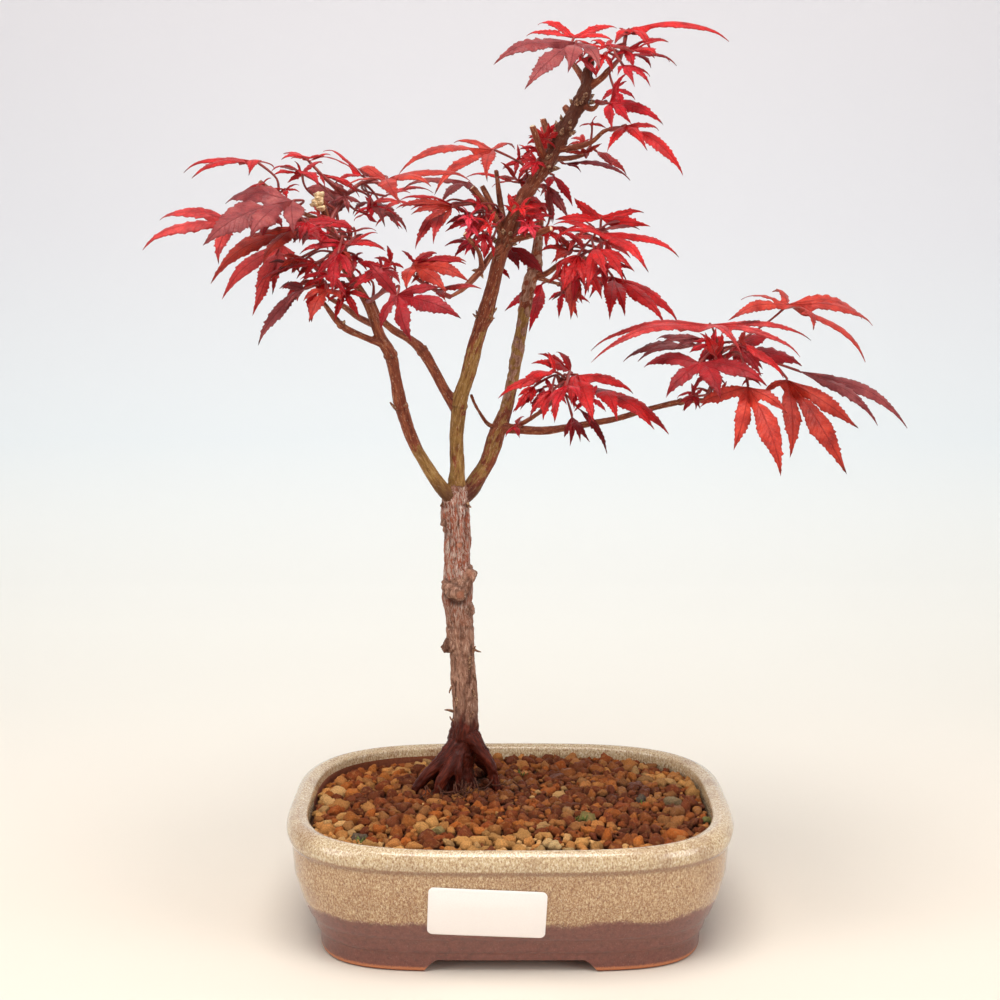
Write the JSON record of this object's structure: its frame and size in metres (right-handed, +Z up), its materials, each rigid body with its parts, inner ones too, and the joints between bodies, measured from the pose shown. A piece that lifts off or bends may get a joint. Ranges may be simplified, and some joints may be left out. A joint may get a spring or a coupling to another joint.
{
  "type": "bonsai",
  "caption": "young red-leaved Japanese maple bonsai, forked from one upright trunk, in gritty soil in a rounded oblong glazed pot with feet and a blank label",
  "frame": {"origin": "bottom centre of the whole object's box, on the surface that the pot's feet stand on", "axes": "+X to the right as the label is read, +Y to the back, +Z up along the trunk"},
  "size_m": [0.318, 0.144, 0.388],
  "materials": {
    "pot": "mottled olive-beige glaze over a bare brown foot",
    "drain_net": "moulded net",
    "soil": "fired clay grains",
    "label": "blank matt sticker",
    "tree": "living bark",
    "leaves": "slightly glossy red leaf"
  },
  "bodies": {
    "root": {"pot": "pot", "drain_net_left": "drain_net", "drain_net_right": "drain_net", "soil": "soil", "label": "label", "tree": "tree", "spray_left_far": "leaves", "spray_left_top": "leaves", "spray_left_mid": "leaves", "spray_left_low": "leaves", "spray_left_front": "leaves", "spray_leader_low": "leaves", "spray_centre_left": "leaves", "spray_centre_right": "leaves", "spray_leader_up": "leaves", "spray_upper_back": "leaves", "spray_side_back": "leaves", "spray_side_low": "leaves", "spray_side_loop": "leaves", "spray_crown_left": "leaves", "spray_crown_right": "leaves", "spray_mid_right": "leaves", "spray_mid_dark": "leaves", "spray_low_near": "leaves", "spray_low_small": "leaves", "spray_far_right": "leaves"}
  },
  "joints": []
}
